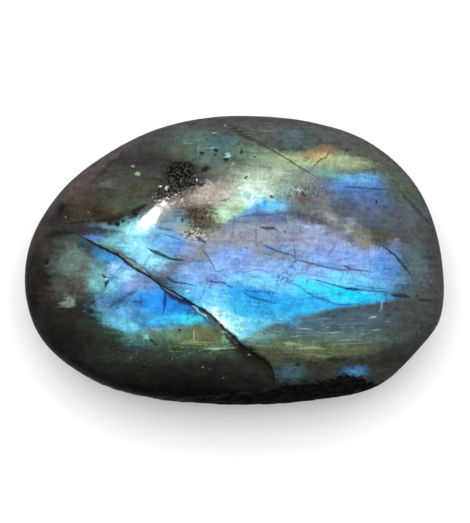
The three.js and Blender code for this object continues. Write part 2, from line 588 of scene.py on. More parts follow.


# %% [markdown]
# The body comes first: nearly black feldspar, warmer on the left, greyer where haze in the stone
# catches the light. Along its rims it is painted darker, nearly black at the lower and left edges: painted
# shade, where the stone turns away from the light. Three layers of flashes follow, because the fracture
# and the lower border of the main flash each cut the colours off sharply. A row is a place, a half size,
# a tilt, a softness, a colour as the lit stone shows it, and a strength where that isn't full. Small
# patches are less displaced.

# %% The body
BODY = "#3c403d"
# rows at the rims are painted shade: darker inside the top and right edges, nearly black at the lower and
# left edges
BODY_AND_RIM_SHADE_ROWS = [
    (30, 290, 70, 100, 0, 0.9, "#332b27"), (62, 330, 40, 40, 0, 0.8, "#262321"),
    (150, 176, 90, 36, 20, 0.8, "#3b3833"), (225, 112, 130, 18, 0, 0.7, "#43423f"),
    (390, 160, 60, 40, -40, 0.8, "#4f544d"), (440, 240, 34, 90, 0, 0.8, "#484d4b"),
    (100, 375, 100, 60, -20, 0.8, "#1c1a18"), (186, 386, 120, 30, 0, 0.8, "#23221f"),
    (170, 414, 220, 30, 0, 0.6, "#060606"), (412, 352, 40, 34, 40, 0.8, "#2d2e29"),
    (398, 162, 60, 8, -45, 0.9, "#3a3e39", 0.5), (296, 120, 76, 5, -6, 0.9, "#383a36", 0.3),
    (70, 368, 60, 9, -38, 0.8, "#070606"), (140, 398, 60, 8, -12, 0.8, "#070706"),
    (24, 300, 11, 60, 0, 0.6, "#060505"), (40, 222, 24, 6, 60, 0.9, "#35201c", 0.7),
    (45, 274, 5, 14, 0, 0.8, "#1c1413", 0.9), (438, 250, 5, 26, 0, 0.9, "#33383a", 0.7),
    (104, 340, 42, 12, -35, 0.9, "#262920", 0.9), (145, 356, 48, 7, 0, 0.9, "#323e36", 0.8),
    (120, 366, 30, 5, 0, 0.9, "#222622", 0.8), (84, 318, 18, 6, 0, 0.9, "#2a2520", 0.8),
]
SMALL_PX = 9


def paint(colour, rows):
    """The rows' patches over a colour, one after another."""
    for x, y, half_x, half_y, *look in rows:
        spot = mid if half_y < SMALL_PX else far
        colour = patch(colour, spot, x, y, half_x, half_y, *look)
    return colour


body = paint(tone(BODY), BODY_AND_RIM_SHADE_ROWS)
print("patches in the body:", len(BODY_AND_RIM_SHADE_ROWS))

# %% [markdown]
# The upper side is hazy. It goes from green and olive through a pale, milky middle to a blue flash on
# the right, with gold and orange above it, where the layers are thickest.

# %% The upper side
UPPER_ROWS = [
    (92, 172, 52, 8, 40, 0.8, "#504740", 0.9), (112, 164, 26, 2.4, 40, 0.8, "#2b2522", 0.9),
    (78, 190, 14, 9, 40, 0.9, "#54463d", 0.9), (118, 186, 36, 12, 20, 0.9, "#403f3a", 0.9),
    (111, 183, 9, 2.6, 20, 0.9, "#625f59", 0.9), (137, 162, 20, 6, 0, 0.8, "#2b292e", 0.95),
    (140, 190, 20, 14, 0, 0.9, "#47483a", 0.9), (127, 206, 20, 8, 10, 0.9, "#4c594a", 0.9),
    (88, 212, 22, 9, 10, 0.8, "#40382b", 0.95), (96, 213, 7, 4, 0, 0.9, "#2f2419", 0.8),
    (112, 217, 18, 3.4, 10, 0.8, "#33291d", 0.9), (57, 218, 9, 16, -20, 0.8, "#262020", 0.95),
    (61, 208, 4, 5, -20, 0.8, "#161212", 0.9), (198, 142, 26, 11, 0, 0.9, "#4f6a64"),
    (228, 146, 14, 8, -20, 0.9, "#426168"), (185, 152, 12, 7, 0, 0.9, "#4c5642", 0.9),
    (213, 158, 18, 8, 0, 0.9, "#57706a", 0.9), (250, 152, 16, 11, -10, 0.9, "#5c7566"),
    (262, 134, 24, 9, -10, 0.9, "#4a4f48"), (294, 138, 18, 9, -10, 0.9, "#485c60"),
    (322, 134, 18, 8, -20, 0.9, "#4f5350", 0.9), (232, 170, 22, 7, 10, 0.9, "#6c766a"),
    (278, 158, 22, 7, -10, 0.9, "#7e9270"), (278, 172, 32, 11, 0, 0.9, "#8a9c88"),
    (306, 163, 26, 7, -10, 0.9, "#9cb288"), (340, 161, 26, 6, -10, 0.9, "#a0b08a"),
    (316, 153, 15, 5, 10, 0.95, "#a08c66", 0.85), (322, 157, 8, 3, 10, 0.9, "#bcae72", 0.8),
    (326, 149, 5, 3, 10, 0.95, "#8e6850", 0.75), (336, 174, 24, 5, -10, 0.9, "#6a9490"),
    (306, 176, 12, 6, -10, 0.9, "#84968a", 0.9), (366, 212, 36, 18, -10, 0.8, "#535e74"),
    (404, 214, 20, 14, -20, 0.8, "#505a66", 0.9), (356, 194, 33, 9, -10, 0.8, "#4f6da0"),
    (355, 185, 30, 5, 0, 0.8, "#5486c8"), (360, 179, 22, 4, 0, 0.8, "#62a4d4"),
    (403, 184, 16, 20, 20, 0.9, "#4f5c4a", 0.7), (412, 240, 24, 18, 0, 0.9, "#4c5454", 0.9),
    # (438, 250) darkens the right rim: painted shade
    (414, 268, 15, 18, 0, 0.9, "#566a74", 0.9), (438, 250, 12, 40, 0, 0.8, "#3f4443", 0.9),
    (384, 236, 22, 5, -10, 0.9, "#4b4c3d", 0.95), (310, 194, 24, 14, -10, 0.9, "#70767a"),
    (300, 198, 12, 6, -10, 0.9, "#574e44", 0.95), (300, 182, 12, 5, 0, 0.9, "#858c84", 0.9),
    (298, 190, 3, 1.6, 0, 0.9, "#b4c8d0", 0.9), (312, 210, 26, 7, -20, 0.9, "#687076", 0.9),
    (282, 189, 12, 10, 0, 0.9, "#8fa8a0", 0.9), (256, 184, 21, 12, 10, 0.9, "#b4cab4"),
    (213, 196, 21, 11, 10, 0.8, "#c2beae"), (210, 188, 12, 5, 20, 0.9, "#b0b0a2", 0.9),
    (223, 193, 9, 5, 10, 0.9, "#b6ac9a", 0.8), (247, 190, 16, 8, 10, 0.9, "#c4dcc8"),
    (250, 200, 17, 8, 10, 0.9, "#caf8f4"), (226, 214, 22, 7, 8, 0.9, "#b0d2b4"),
    (270, 205, 15, 6, 0, 0.8, "#7ccef4"), (262, 207, 10, 3.6, 12, 0.9, "#3ca8f2", 0.95),
    (254, 212, 12, 3.4, 12, 0.9, "#5eaadc", 0.9), (272, 212, 16, 1.8, 0, 0.8, "#7884c4", 0.9),
    (236, 203, 12, 4, 10, 0.9, "#c0cfae", 0.8), (178, 204, 18, 9, 20, 0.9, "#7c756c"),
]
upper = paint(body, UPPER_ROWS)
print("patches in the upper side:", len(UPPER_ROWS))

# %% [markdown]
# A turquoise flash lies left of the middle. The dark rock cuts it off along its upper edge.

# %% The turquoise flash
FLASH_EDGE_PX = [
    (40, 234), (64, 226), (84, 224), (100, 223), (110, 225), (118, 224), (126, 216), (134, 213), (142, 210),
    (150, 205), (160, 203), (175, 206), (188, 212), (205, 216),
]
FLASH_EDGE_MM = 1.3  # how far one colour takes to pass into the other
TURQUOISE_ROWS = [
    (128, 238, 34, 14, -10, 0.6, "#7cc8d8"), (112, 230, 12, 4, -10, 0.9, "#5c98a0", 0.9),
    # (140, 226) lightens the turquoise around the key's streak: a painted glow of the highlight
    (152, 246, 24, 18, -20, 0.8, "#7ac4e6"), (140, 226, 12, 7, 40, 0.9, "#a0e4ea", 0.9),
    (125, 233, 9, 4, 20, 0.9, "#a4e8e4", 0.8), (137, 246, 12, 6, -20, 0.9, "#98e6f4", 0.85),
    (150, 262, 16, 7, -20, 0.8, "#92dcfa"), (172, 240, 16, 10, -20, 0.9, "#629ae0"),
    (174, 224, 13, 9, -10, 0.9, "#769eb4"), (158, 232, 11, 5, -20, 0.9, "#72acce", 0.9),
    (104, 246, 14, 3, -20, 0.9, "#6ea39c", 0.8), (94, 230, 22, 6, -10, 0.8, "#323a50"),
    (92, 238, 10, 2.4, -20, 0.9, "#5a72c0", 0.9), (76, 229, 16, 6, -10, 0.8, "#2e2d2f"),
]
turquoise = paint(upper, TURQUOISE_ROWS)
upper = add("Mix", left_of(near, FLASH_EDGE_PX, FLASH_EDGE_MM), turquoise, upper, **RGB)
print("patches in the turquoise flash:", len(TURQUOISE_ROWS))

# %% [markdown]
# The main flash is a broad band. Its colour changes with the height in the picture, from cyan at the
# lower border through blue and violet to grey, so a colour ramp lays it first and patches vary it.

# %% The main flash
BAND = [  # heights in the picture, and their colours
    (324, "#60c4ec"), (310, "#34b4f0"), (299, "#2cacf0"), (291, "#4cbcf6"), (282, "#74c0f8"),
    (271, "#80b0e8"), (260, "#82a6dc"), (248, "#8499bc"), (237, "#8690a4"), (226, "#7d8794"),
    (216, "#6c7f9c"),
]
BAND_ROWS = [
    (240, 214, 16, 6, 10, 0.9, "#6a96b4", 0.8), (272, 219, 22, 4.5, 0, 0.9, "#5c7294", 0.9),
    (298, 217, 12, 5, -20, 0.9, "#78838e", 0.9), (321, 238, 21, 12, -20, 0.7, "#929fd0"),
    (338, 246, 16, 8, -10, 0.9, "#8498c2", 0.9), (300, 236, 22, 10, 0, 0.9, "#8b96b2", 0.7),
    (345, 262, 26, 10, -10, 0.9, "#7ba0e2", 0.9), (256, 240, 28, 10, 0, 0.9, "#8d93a6", 0.9),
    (228, 236, 16, 7, -10, 0.9, "#8f9296", 0.8), (268, 253, 32, 4, -10, 0.9, "#7c8694", 0.9),
    (258, 281, 24, 8, -10, 0.7, "#72cdfc"), (262, 296, 30, 5, -10, 0.8, "#2596ea", 0.9),
    (268, 308, 24, 7, 0, 0.9, "#2ea2e6", 0.9), (306, 300, 22, 7, -10, 0.9, "#30b4f2", 0.8),
    (330, 291, 30, 8, -10, 0.8, "#38ccf8"), (350, 295, 24, 6, -10, 0.8, "#12d2fc"),
    (312, 287, 16, 4, -20, 0.8, "#3ce0fa", 0.8), (346, 279, 20, 5, -10, 0.9, "#6ad0fa", 0.8),
    # (216, 310), (236, 328) and (220, 319) lighten the cyan toward white along the fracture's upper edge: a
    # painted highlight
    (216, 310, 12, 22, 40, 0.8, "#98f0fc"), (236, 328, 12, 12, -40, 0.9, "#a2ecf2"),
    (220, 319, 7, 13, 40, 0.9, "#dcfffc", 0.95), (238, 306, 14, 8, 20, 0.9, "#3cb8f0", 0.9),
    (198, 291, 24, 8, -20, 0.8, "#66bcf6"), (186, 275, 26, 9, 0, 0.8, "#7eb0ec"),
    (216, 279, 12, 5, 0, 0.9, "#7a94d0", 0.8), (228, 259, 16, 10, 0, 0.9, "#82a6e6"),
    (167, 271, 11, 5, 20, 0.9, "#7284a6", 0.95), (184, 260, 17, 4.5, 20, 0.8, "#7a88a0"),
    (201, 252, 10, 8, -20, 0.8, "#7e8186"), (180, 248, 12, 6, -20, 0.9, "#8ba8da", 0.9),
    (364, 258, 20, 10, 0, 0.9, "#86a8e8", 0.8), (386, 268, 16, 15, 0, 0.8, "#568fd4"),
    (394, 248, 14, 5, -10, 0.9, "#566a8c", 0.9), (408, 262, 9, 18, -10, 0.9, "#4c6a80"),
    (401, 292, 14, 10, 0, 0.9, "#46627a", 0.9), (334, 246, 10, 5, 0, 0.9, "#8a9cc0", 0.7),
    (215, 246, 9, 5, 0, 0.9, "#8c96a4", 0.7), (256, 260, 9, 5, 0, 0.9, "#86a2cc", 0.7),
    (316, 229, 10, 5, 0, 0.9, "#a2b4de", 0.8),
]
BAND_TOP_PX = [
    (150, 252), (176, 248), (200, 234), (218, 226), (236, 217), (262, 214), (285, 213), (302, 220),
    (320, 226), (334, 233), (356, 244), (378, 246), (390, 242), (402, 242), (412, 248), (440, 262),
]
BAND_TOP_MM = -1.8  # negative, because the band lies to the right of this line
BAND_START_PX = (158, 196)  # from where to where across the picture it sets in
BAND_END_PX = (416, 392)

levels = plane(*((0, y) for y, _ in BAND))[:, 1]
height = add("MapRange", add("VectorMath", far, (0, 1, 0), **DOT), levels[0], levels[-1], clamp=False)
band = add("ValToRGB", height)
stops = band.node.color_ramp.elements
for level, (_, code) in list(zip(levels, BAND))[1:-1]:
    stops.new((level - levels[0]) / (levels[-1] - levels[0]))
for stop, (_, code) in zip(stops, BAND):
    stop.color = tone(code)
band = paint(band, BAND_ROWS)

across = add("VectorMath", mid, (1, 0, 0), **DOT)
in_band = left_of(mid, BAND_TOP_PX, BAND_TOP_MM)
for span in (BAND_START_PX, BAND_END_PX):
    start, end = (plane((x, 0))[0][0] for x in span)
    in_band = add("Math", in_band, add("MapRange", across, start, end, **EASED), **TIMES)
upper = add("Mix", in_band, upper, band, **RGB)
print("the main flash spans, mm:", (levels[-1] - levels[0]).round(1))

# %% [markdown]
# Milky haze lies over the upper flashes and softens their borders. Below the main flash's border and
# left of the fracture, the colours start from the body again.

# %% Haze, and the lower sides
HAZE_ROWS = [
    (330, 216, 9, 4.5, -40, 0.9, "#989697", 0.8), (348, 226, 7, 9, -20, 0.9, "#94949a", 0.85),
    (362, 238, 12, 6, -40, 0.9, "#8c8e80", 0.85), (336, 233, 14, 7, -20, 0.9, "#8e95a4", 0.6),
    (196, 234, 13, 6, -10, 0.8, "#a6a698", 0.95), (188, 226, 10, 4, 0, 0.9, "#8c9088", 0.9),
    (210, 232, 9, 4, 0, 0.9, "#9a9c94", 0.8), (199, 217, 11, 9, -20, 0.9, "#5a5041"),
    (210, 223, 9, 5, -20, 0.9, "#67655a", 0.8), (192, 242, 8, 4, -20, 0.9, "#98a2b8", 0.8),
    (169, 270, 12, 4, 25, 0.9, "#6e7f9c", 0.8), (190, 258, 13, 4.5, 40, 0.9, "#848ea6", 0.75),
    (196, 271, 14, 5, 0, 0.9, "#88b0ee", 0.8), (410, 303, 17, 8, 10, 0.9, "#50595e", 0.9),
]
RIGHT_ROWS = [
    (398, 318, 36, 26, 0, 0.8, "#454b4a"), (318, 324, 50, 10, 0, 0.8, "#4b687a"),
    (352, 316, 34, 9, 0, 0.9, "#4b626c", 0.9), (258, 336, 20, 7, 0, 0.9, "#72a49c"),
    (340, 338, 44, 7, 0, 0.9, "#5b7772", 0.9), (306, 350, 50, 8, 0, 0.8, "#5b664b"),
    (296, 345, 22, 4, 0, 0.9, "#6c7c62", 0.8), (352, 350, 20, 5, 0, 0.9, "#5e6a4e", 0.8),
    (272, 354, 10, 4, 0, 0.9, "#464834", 0.8), (330, 368, 60, 8, 0, 0.8, "#3b3b31", 0.9),
    (354, 372, 12, 5, 0, 0.8, "#3c7098"), (356, 372, 6, 3, 0, 0.9, "#4c8cb8", 0.9),
    (290, 321, 12, 3, 0, 0.9, "#3f92b8", 0.8), (290, 372, 13, 7, 0, 0.9, "#486470", 0.95),
    (276, 362, 8, 5, 0, 0.9, "#46523f", 0.8), (384, 372, 16, 5, 20, 0.9, "#3a443c", 0.8),
]
BORDER_PX = [
    (180, 392), (210, 362), (228, 346), (240, 340), (250, 335), (262, 328), (272, 324), (290, 319),
    (310, 314), (330, 309), (355, 305), (379, 302), (396, 300), (430, 297), (470, 294),
]
BORDER_MM = 1.1
LEFT_ROWS = [
    (76, 264, 20, 24, 0, 0.8, "#5c6c66"), (66, 290, 16, 12, 0, 0.9, "#4c4a42", 0.9),
    (78, 251, 9, 6, 0, 0.9, "#6f857c", 0.9), (70, 268, 7, 6, 0, 0.9, "#647b71", 0.9),
    (90, 274, 7, 12, 0, 0.9, "#6b8678", 0.8), (71, 300, 5, 4, 0, 0.9, "#7d9480", 0.9),
    (66, 305, 7, 1.8, 10, 0.9, "#7a9280", 0.8), (88, 248, 16, 5, -30, 0.8, "#2c464c"),
    (118, 322, 26, 10, -40, 0.8, "#5aa8bc"), (150, 337, 34, 8, -10, 0.8, "#528c82"),
    (134, 292, 36, 26, -40, 0.6, "#54a0d2"), (112, 260, 16, 7, -35, 0.8, "#3f8cc6"),
    (130, 270, 14, 5, -35, 0.9, "#74a8e0", 0.9), (98, 281, 8, 13, 0, 0.9, "#78bcc0", 0.9),
    (115, 268, 8, 4.5, 40, 0.9, "#a6dcfa", 0.9), (126, 277, 8, 5, 20, 0.9, "#98dcf8", 0.9),
    (112, 288, 7, 6, 0, 0.9, "#84d4ec", 0.8), (133, 286, 9, 4.5, 20, 0.9, "#98a4e0", 0.9),
    (146, 283, 11, 4.5, -40, 0.9, "#7a84b8", 0.9), (122, 300, 18, 7, 0, 0.9, "#4482b8"),
    (108, 310, 10, 6, -40, 0.9, "#5a8cac", 0.9), (166, 306, 26, 12, -20, 0.7, "#2386e6"),
    (152, 303, 10, 10, 0, 0.9, "#2b98f4", 0.9), (178, 306, 12, 6, -20, 0.9, "#1e86e0", 0.9),
    (122, 312, 8, 5, -20, 0.9, "#5cace2", 0.8), (186, 320, 20, 6, -10, 0.8, "#36ccf8"),
    (128, 326, 12, 5, -20, 0.9, "#74d2f4", 0.9), (156, 322, 16, 6, 0, 0.9, "#42b6f4", 0.9),
    (172, 329, 12, 3, 0, 0.9, "#60c8e8", 0.8), (206, 338, 24, 12, -10, 0.7, "#626a4c"),
    (186, 337, 28, 7, -8, 0.9, "#5f7048", 0.8), (204, 332, 17, 8, -12, 0.9, "#666c4a", 0.8),
    (172, 345, 26, 6, -10, 0.9, "#465842", 0.9), (174, 335, 12, 4, 0, 0.9, "#648c70", 0.8),
    (228, 336, 4, 9, 20, 0.9, "#7cae9c", 0.8), (219, 348, 9, 0.9, 0, 0.8, "#96ccb4", 0.8),
    (192, 343, 14, 1.2, 0, 0.9, "#829668", 0.8), (204, 354, 28, 4, 0, 0.9, "#3a4e42", 0.9),
    (146, 337, 3, 1.6, -20, 0.9, "#a0d8c4", 0.8), (155, 330, 2.6, 2.6, 0, 0.8, "#a49c94", 0.8),
    (214, 314, 11, 4.5, -40, 0.8, "#4c8090", 0.95), (95, 244, 7, 4, -30, 0.9, "#2a4852", 0.9),
    (115, 259, 8, 4, -35, 0.9, "#3f88c4", 0.8), (195, 320, 8, 3, -10, 0.9, "#48dcf8", 0.8),
    (116, 336, 14, 5, -30, 0.9, "#35584c", 0.8), (175, 350, 12, 4, 0, 0.9, "#363f2d", 0.8),
    (101, 331, 24, 7, -30, 0.8, "#2c392e", 0.9),
]
LEFT_CRACKS = [  # places, widths, colour and strength
    # the first is a dark navy wedge below the fracture: the crack's own colour, deepened as painted shade of
    # the fracture's depth
    ([(157, 283), (168, 293), (178, 298.5), (190, 304), (202, 311)], [4, 6, 4], "#101838", 0.92),
    ([(160, 286), (170, 291), (184, 300)], [2.6, 2.4], "#64749e", 0.8),
    ([(223, 332), (238, 347), (250, 356), (262, 365), (275, 383)], [6, 9, 10, 7], "#231e13", 0.92),
]
FRACTURE_MM = 0.22
upper = paint(upper, HAZE_ROWS)

right = paint(body, RIGHT_ROWS)
upper = add("Mix", left_of(near, BORDER_PX, BORDER_MM), right, upper, **RGB)

left = paint(body, LEFT_ROWS)
for line, widths, *look in LEFT_CRACKS:
    left = stroke(left, line, widths, *look)
colour = add("Mix", left_of(near, FRACTURE_PX, FRACTURE_MM), left, upper, **RGB)
print("patches in the haze and the lower sides:", len(HAZE_ROWS) + len(RIGHT_ROWS) + len(LEFT_ROWS))

# %% [markdown]
# Cracks run through the flashes as thin dark lines, and hard light on the layers' edges draws pale
# dashes. They are drawn after the colours, and far less displaced, because a crack is a crisp thing.

# %% Cracks and dashes
CRACKS = [  # places, widths in pixels, colour and strength
    (FRACTURE_PX[OPENS_AT : CLOSES_AT + 2],
     [2.2, 3, 1.8, 1.6, 1.6, 1.6, 1.8, 2.2, 2.4, 3, 4.2, 5, 4], "#0d0f12"),
    ([(96, 241), (112, 249), (122, 254), (130, 259), (138, 265), (146, 271), (154, 277)],
     [1.2, 1.4, 1.4], "#43565f", 0.8),
    ([(124, 258), (134, 264), (142, 269.5), (149, 275)], [2, 2.6, 2], "#94adb8", 0.75),
    # this pale line is a painted highlight along the fracture's upper edge
    ([(200, 303), (210, 311), (222, 321), (232, 330), (241, 338)], [1.8, 2], "#ecfff8", 0.55),
    ([(191, 305), (196, 308), (199, 312), (205, 315), (209, 321)], [1.4, 2, 1, 2, 1.2], "#9cdce8", 0.7),
    ([(263, 245), (268, 247.5), (274, 249)], [4, 3.4], "#5884b8", 0.9),
    ([(276, 250), (284, 247), (292, 245)], [3.4, 4], "#5284bc", 0.9),
    ([(283, 253), (289, 251), (295, 247)], [3.2, 3], "#6a90c4", 0.85),
    ([(216, 118), (228, 125), (238, 132), (248, 138), (260, 142)], [2.6, 4, 4, 2.6], "#30352a", 0.9),
    ([(224, 122), (262, 144.5), (292, 162), (322, 181)], [2, 2, 1.5, 1.4], "#343c2e", 0.85),
    ([(243, 140), (235, 146)], [2.2], "#3a473c", 0.75),
    ([(328, 146), (327, 156), (320, 160), (316, 164), (312, 171)], [1, 1.4, 1.6, 1.2], "#574a30", 0.85),
    ([(394, 184), (402, 193), (413, 206), (426, 220), (435, 231)], [2, 2.8, 3.2, 2.4], "#343939", 0.85),
    ([(381, 245), (390, 251), (402, 264), (414, 279)], [1.8, 2.4, 2.2, 1.6], "#1e3444", 0.92),
    ([(401, 252), (409, 266)], [1.8], "#3e6072", 0.6),
    ([(423, 274), (430, 284), (441, 298)], [1.8, 1.8], "#363b3b", 0.75),
    ([(406, 272), (424, 273), (442, 276)], [1.4], "#4a5458", 0.6),
    ([(389, 294), (400, 296), (411, 297)], [3.8, 3.8], "#222327", 0.95),
    ([(420, 299.5), (435, 301)], [3.2], "#2b2b29", 0.9),
    ([(293, 259), (305, 262), (318, 265), (330, 268), (342, 270), (358, 270), (376, 273)],
     [2.2, 2.2, 2, 1.8, 1.4], "#485a84", 0.85),
    ([(342, 265), (348, 267.5), (352, 270)], [2.4], "#2a4066", 0.9),
    ([(298, 272), (318, 276), (338, 279)], [1.6], "#5a8cc4", 0.6),
    ([(310, 279), (320, 281), (338, 286), (350, 289), (364, 290), (376, 291), (392, 293)],
     [1.6, 1.8, 2.6, 2, 1.8], "#205a86", 0.85),
    ([(344, 288), (352, 288.6), (360, 289)], [3], "#103a5c", 0.9),
    ([(350, 283), (365, 287), (376, 288), (392, 290)], [1.5, 1.7], "#3672b0", 0.7),
    ([(302, 288), (311, 295), (318, 298), (326, 300), (336, 304), (360, 303)],
     [2.2, 2, 1.8, 1.5], "#1a72b2", 0.85),
    ([(286, 281), (298, 286), (307, 291)], [1.7], "#3884c8", 0.75),
    ([(344, 270), (341, 280)], [1.5], "#5c7ab4", 0.65), ([(369, 252), (370, 277)], [1.5], "#6a80bc", 0.55),
    ([(389, 254), (390, 272)], [1.5], "#4872ac", 0.55),
    ([(339, 238), (333, 248), (328, 256), (323, 263)], [2.4, 2.4], "#6a78ac", 0.7),
    ([(259, 226.5), (267, 228.5), (274, 228.5), (279, 233)], [2.8, 3.6, 1.8], "#32353d", 0.9),
    ([(262, 244), (275, 250), (284, 253), (293, 256), (297, 261)], [1.8, 2, 1.8], "#324c78", 0.85),
    ([(294, 245), (295, 259)], [1.5], "#3a5072", 0.7),
    ([(144, 246), (152, 251), (157, 253), (164, 256), (172, 259), (186, 259.5)],
     [1.6, 4, 3.2, 2.2, 2.6], "#152229", 0.95),
    ([(158, 279), (168, 272), (176, 266), (184, 263), (196, 261), (206, 263), (213, 269)],
     [1.4, 1.6, 1.6], "#626f98", 0.65),
    ([(202, 249), (208, 257), (211, 262), (214, 268), (216, 274)], [2, 1.8, 1.6], "#525d84", 0.8),
    ([(212, 271), (220, 271), (226, 270), (230, 275)], [1.8], "#52608a", 0.75),
    ([(205, 280), (215, 282.5), (224, 283), (230, 287), (236, 284)], [1.8, 1.8], "#3a4f7a", 0.85),
    ([(165, 276), (172, 281), (182, 283), (198, 287)], [2.8, 1.8, 1.2], "#222d44", 0.88),
    ([(206, 283), (204, 292), (200, 300), (198, 306)], [1.5], "#46749e", 0.65),
    ([(227, 277), (236, 272), (246, 272), (256, 270), (266, 272), (278, 278)], [1.4, 1.4], "#587ab2", 0.65),
    ([(240, 289), (250, 291), (262, 291.5), (280, 292)], [2, 1.8], "#1a5898", 0.8),
    ([(241, 290), (250, 296), (262, 300), (278, 304)], [2.4, 2.6, 1.8], "#1c60a8", 0.8),
    ([(229, 302), (234, 308), (236, 317)], [1.6], "#3a80b0", 0.65),
    ([(155, 225), (163, 228.5), (173, 230)], [2, 1.8], "#38647f", 0.85),
    ([(158, 233), (170, 236), (184, 242)], [1.4, 1.6], "#426890", 0.75),
    ([(195, 236), (201, 240), (207, 244)], [2.6, 3], "#363d56", 0.92),
    ([(164, 289), (165, 302), (163, 317)], [3.2, 2.6], "#123676", 0.88),
    ([(141, 295), (142, 307)], [2], "#1c467c", 0.55),
    ([(186, 303), (188, 316), (184, 327)], [1.4], "#1668b4", 0.65),
    ([(102, 275), (107, 279)], [2.6], "#1a2426", 0.92),
    ([(109, 280), (106, 283), (105, 289)], [3.8, 2.2], "#0f161a", 0.95),
    ([(104, 288), (99, 292), (94, 298)], [1.4], "#3c6c80", 0.75),
    ([(139, 290), (130, 294), (122, 299), (108, 307)], [4, 5, 5], "#3a5078", 0.8),
    ([(132, 302), (143, 302)], [3.4], "#1b4080", 0.6),
    ([(341, 185), (352, 187), (366, 188), (388, 190)], [2, 2.2, 2.2], "#314b74", 0.88),
    ([(345, 191), (364, 192)], [1.4], "#3e5a86", 0.55),
    ([(217, 200), (224, 200.5), (230, 198)], [1.8], "#665f52", 0.75),
    ([(235, 217.5), (250, 215.5), (262, 214.5), (276, 214), (294, 212)], [2.2, 2.2, 1.8], "#42629c", 0.8),
    ([(148, 204), (138, 209), (130, 213)], [3.8, 4.4], "#171411", 0.92),
    ([(126, 216), (110, 219), (94, 222)], [3.2, 2.8], "#2a2218", 0.88),
    ([(92, 221), (80, 222), (64, 224)], [2.6], "#272121", 0.85),
    ([(76, 233), (60, 233), (44, 237)], [6, 7], "#1b1818", 0.88),
    ([(324, 360), (336, 359.5), (348, 360)], [3.4, 3.4], "#29271d", 0.88),
    ([(349, 360), (364, 361)], [2.8], "#333028", 0.85),
    ([(366, 361), (380, 365), (394, 366)], [2.4], "#33322a", 0.75),
    ([(147, 336), (152, 341), (158, 346)], [2.8], "#1d251c", 0.9),
    ([(96, 300), (90, 304)], [2.6], "#1d2b28", 0.8),
    ([(257, 220), (256, 236), (257, 248)], [1.7, 1.7], "#626880", 0.7),
    ([(235, 218), (232, 236)], [1.7], "#646c7a", 0.7),
    ([(199, 138), (198.5, 152), (199, 164)], [1, 1], "#7c8c84", 0.5),
]
DASHES = [  # the same
    ([(299, 328.5), (311, 329.5)], [1.3], "#87a0aa", 0.7),
    ([(291, 336.5), (303, 335.5)], [1.3], "#86aaa2", 0.7),
    ([(326, 333), (344, 332)], [1.3], "#80a8a2", 0.65), ([(358, 334), (368, 334)], [1.2], "#82948a", 0.6),
    ([(340, 340), (355, 339.5)], [1.5], "#88a08e", 0.8),
    ([(371, 330), (382, 329.5)], [1.4], "#828e8a", 0.8),
    ([(281, 343.5), (296, 344), (304, 345.5)], [2, 1.8], "#98ac88", 0.75),
    ([(295, 348.5), (312, 348), (328, 349)], [2.2, 1.8], "#9aaa80", 0.75),
    ([(306, 354.5), (328, 356)], [1.5], "#82906a", 0.8),
    ([(332, 344), (368, 343)], [1.4, 1.4], "#7c9078", 0.7),
    ([(369, 317.8), (376, 317)], [1.4], "#a8b8bc", 0.8),
    ([(241, 336), (264, 337.5)], [1.6], "#94c0b0", 0.7), ([(250, 344), (272, 347)], [1.6], "#7a9072", 0.7),
    ([(310, 320), (334, 318)], [1.4], "#5e7e90", 0.7), ([(338, 324), (366, 323)], [1.4], "#627e8a", 0.7),
    ([(205, 348.5), (229, 348)], [1.6], "#8cc4ae", 0.8),
    ([(184, 342), (214, 342.5)], [1.5], "#86966c", 0.8), ([(194, 330), (194, 342)], [1.5], "#a4a880", 0.8),
    ([(383, 300), (380.5, 310)], [1.7], "#90acc0", 0.7),
    ([(185, 143), (194, 143.5)], [1.2], "#78a094", 0.6),
    ([(207, 148), (219, 147.5)], [1.4], "#70a6a6", 0.7), ([(260, 131), (277, 132)], [1.4], "#686e68", 0.8),
    ([(377, 283), (407, 282.5)], [1.4], "#78a2da", 0.65), ([(60, 303), (72, 301.5)], [1.6], "#83998a", 0.8),
    ([(62, 307), (73, 306)], [1.4], "#788c7c", 0.8), ([(146, 335), (149, 339)], [2.2], "#a0d8c4", 0.8),
]
for line, widths, *look in (*CRACKS, *DASHES):
    colour = stroke(colour, line, widths, *look)
print("cracks:", len(CRACKS), "dashes:", len(DASHES))

# %% Specks and glints
SPECKS = [  # place, half size and tilt
    (202, 153, 2, 1.6, 0), (216, 150.5, 2, 1.6, 0), (215, 154.5, 1.6, 1.2, 0), (226, 159, 3.4, 1.7, 0),
    (241, 151.5, 1.4, 2.2, 20), (205, 169, 4.6, 2.4, 30), (248, 156, 0.9, 1.4, 0), (255, 157, 1.2, 0.8, 0),
    (347, 149.5, 1.1, 1.1, 0), (183, 220, 1.3, 1.3, 0), (263, 334, 1.1, 1, 0), (376, 202, 1.4, 1.1, 0),
    (304, 195, 2.2, 1.1, -40), (117, 224.5, 3.4, 2, 0), (110, 223, 2, 1.6, 0), (62, 207, 3, 3.4, 0),
    (105, 221, 1.4, 1.2, 0), (97, 222, 1.6, 1, 0), (124, 221, 2, 1.4, 0), (135, 214, 2.2, 1.6, 20),
    (180, 212, 1, 1, 0), (207, 140, 1, 0.8, 0), (230, 150, 1, 0.8, 0), (320, 141, 0.9, 0.8, 0),
    (190, 234, 2.2, 1.2, 0), (246, 177.5, 1, 1.2, 0), (285, 232, 1, 1, 0), (307, 281, 0.9, 0.7, 0),
    (272, 197, 3, 0.9, 0), (388, 160, 1.4, 1.2, 0), (417, 296, 1.3, 1, 0), (180, 330, 1, 0.9, 0),
    (46, 262, 2.4, 3, 0),
]
